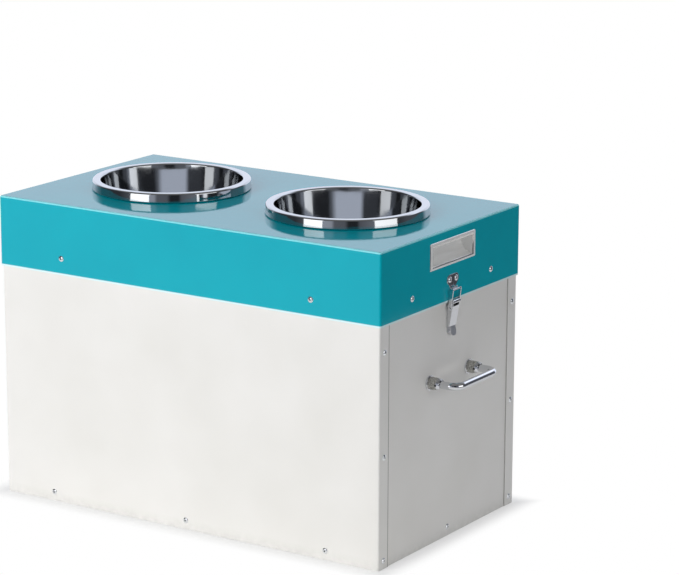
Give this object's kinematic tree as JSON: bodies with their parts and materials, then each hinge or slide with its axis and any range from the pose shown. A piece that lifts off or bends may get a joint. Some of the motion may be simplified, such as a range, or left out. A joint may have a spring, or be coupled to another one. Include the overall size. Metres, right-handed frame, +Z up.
{
  "type": "elevated dog feeder with storage",
  "caption": "Rectangular riveted sheet-metal storage box with a lift-off lid that carries two inset steel bowls, with draw latches, fold-down bail handles and flush pulls on its ends.",
  "frame": {"origin": "on the floor, in the middle of the box's footprint", "axes": "+X to the right end, along the length; +Y to the back; +Z up; the front faces -Y"},
  "size_m": [0.6874, 0.3428, 0.4233],
  "materials": {
    "box_paint": "satin white powder coat",
    "lid_paint": "gloss teal powder coat",
    "pan_steel": "satin white powder coat",
    "rail_steel": "gloss teal powder coat",
    "seal_foam": "matte foam rubber",
    "bowl_steel": "mirror polished stainless steel",
    "rivet_metal": "bright",
    "pull_metal": "satin nickel",
    "handle_chrome": "polished chrome",
    "latch_chrome": "polished chrome",
    "fastener_steel": "zinc plated"
  },
  "bodies": {
    "box": {"front_panel": "box_paint", "back_panel": "box_paint", "left_end_panel": "box_paint", "right_end_panel": "box_paint", "bottom_pan": "pan_steel", "front_base_rivets": "rivet_metal", "back_base_rivets": "rivet_metal", "left_end_rivets": "rivet_metal", "right_end_rivets": "rivet_metal", "left_handle_front_ferrule": "handle_chrome", "left_handle_rear_ferrule": "handle_chrome", "left_handle_pivot_pins": "fastener_steel", "left_handle_screws": "fastener_steel", "left_handle_washers": "fastener_steel", "left_latch_base": "latch_chrome", "left_latch_base_rivets": "rivet_metal", "left_latch_pivot_pin": "fastener_steel", "left_latch_sleeve": "fastener_steel", "right_handle_front_ferrule": "handle_chrome", "right_handle_rear_ferrule": "handle_chrome", "right_handle_pivot_pins": "fastener_steel", "right_handle_screws": "fastener_steel", "right_handle_washers": "fastener_steel", "right_latch_base": "latch_chrome", "right_latch_base_rivets": "rivet_metal", "right_latch_pivot_pin": "fastener_steel", "right_latch_sleeve": "fastener_steel"},
    "lid": {"lid_shell": "lid_paint", "lid_front_rail": "rail_steel", "lid_back_rail": "rail_steel", "lid_left_rail": "rail_steel", "lid_right_rail": "rail_steel", "lid_seal": "seal_foam", "lid_rail_rivets": "rivet_metal", "left_flush_pull": "pull_metal", "left_pull_nuts": "fastener_steel", "left_latch_keeper": "latch_chrome", "left_keeper_rivets": "rivet_metal", "right_flush_pull": "pull_metal", "right_pull_nuts": "fastener_steel", "right_latch_keeper": "latch_chrome", "right_keeper_rivets": "rivet_metal"},
    "water_bowl": {"water_bowl": "bowl_steel"},
    "food_bowl": {"food_bowl": "bowl_steel"},
    "left_handle": {"left_handle_bail": "handle_chrome"},
    "left_lever": {"left_latch_lever": "latch_chrome", "left_latch_link_pin": "fastener_steel"},
    "left_link": {"left_latch_link": "latch_chrome"},
    "right_handle": {"right_handle_bail": "handle_chrome"},
    "right_lever": {"right_latch_lever": "latch_chrome", "right_latch_link_pin": "fastener_steel"},
    "right_link": {"right_latch_link": "latch_chrome"}
  },
  "joints": [
    {"name": "lid_lift", "type": "slide", "parent": "box", "child": "lid", "axis": [0, 0, 1], "range_m": [0, 0.2]},
    {"name": "water_bowl_lift", "type": "slide", "parent": "lid", "child": "water_bowl", "axis": [0, 0, 1], "range_m": [0, 0.08]},
    {"name": "food_bowl_lift", "type": "slide", "parent": "lid", "child": "food_bowl", "axis": [0, 0, 1], "range_m": [0, 0.08]},
    {"name": "right_handle_fold", "type": "hinge", "parent": "box", "child": "right_handle", "pos_m": [0.31, 0, 0.217], "axis": [0, 1, 0], "range_deg": [0, 90]},
    {"name": "right_latch_swing", "type": "hinge", "parent": "box", "child": "right_lever", "pos_m": [0.3051, 0, 0.315], "axis": [0, -1, 0], "range_deg": [0, 140]},
    {"name": "right_link_swing", "type": "hinge", "parent": "right_lever", "child": "right_link", "pos_m": [0.3023, 0, 0.306], "axis": [0, -1, 0], "range_deg": [-165, 0]},
    {"name": "left_handle_fold", "type": "hinge", "parent": "box", "child": "left_handle", "pos_m": [-0.31, 0, 0.217], "axis": [0, -1, 0], "range_deg": [0, 90]},
    {"name": "left_latch_swing", "type": "hinge", "parent": "box", "child": "left_lever", "pos_m": [-0.3051, 0, 0.315], "axis": [0, 1, 0], "range_deg": [0, 140]},
    {"name": "left_link_swing", "type": "hinge", "parent": "left_lever", "child": "left_link", "pos_m": [-0.3023, 0, 0.306], "axis": [0, 1, 0], "range_deg": [-165, 0]}
  ],
  "couplings": [
    {"joint": "right_link_swing", "follows": "right_latch_swing", "ratio": -1.15},
    {"joint": "left_link_swing", "follows": "left_latch_swing", "ratio": -1.15}
  ]
}
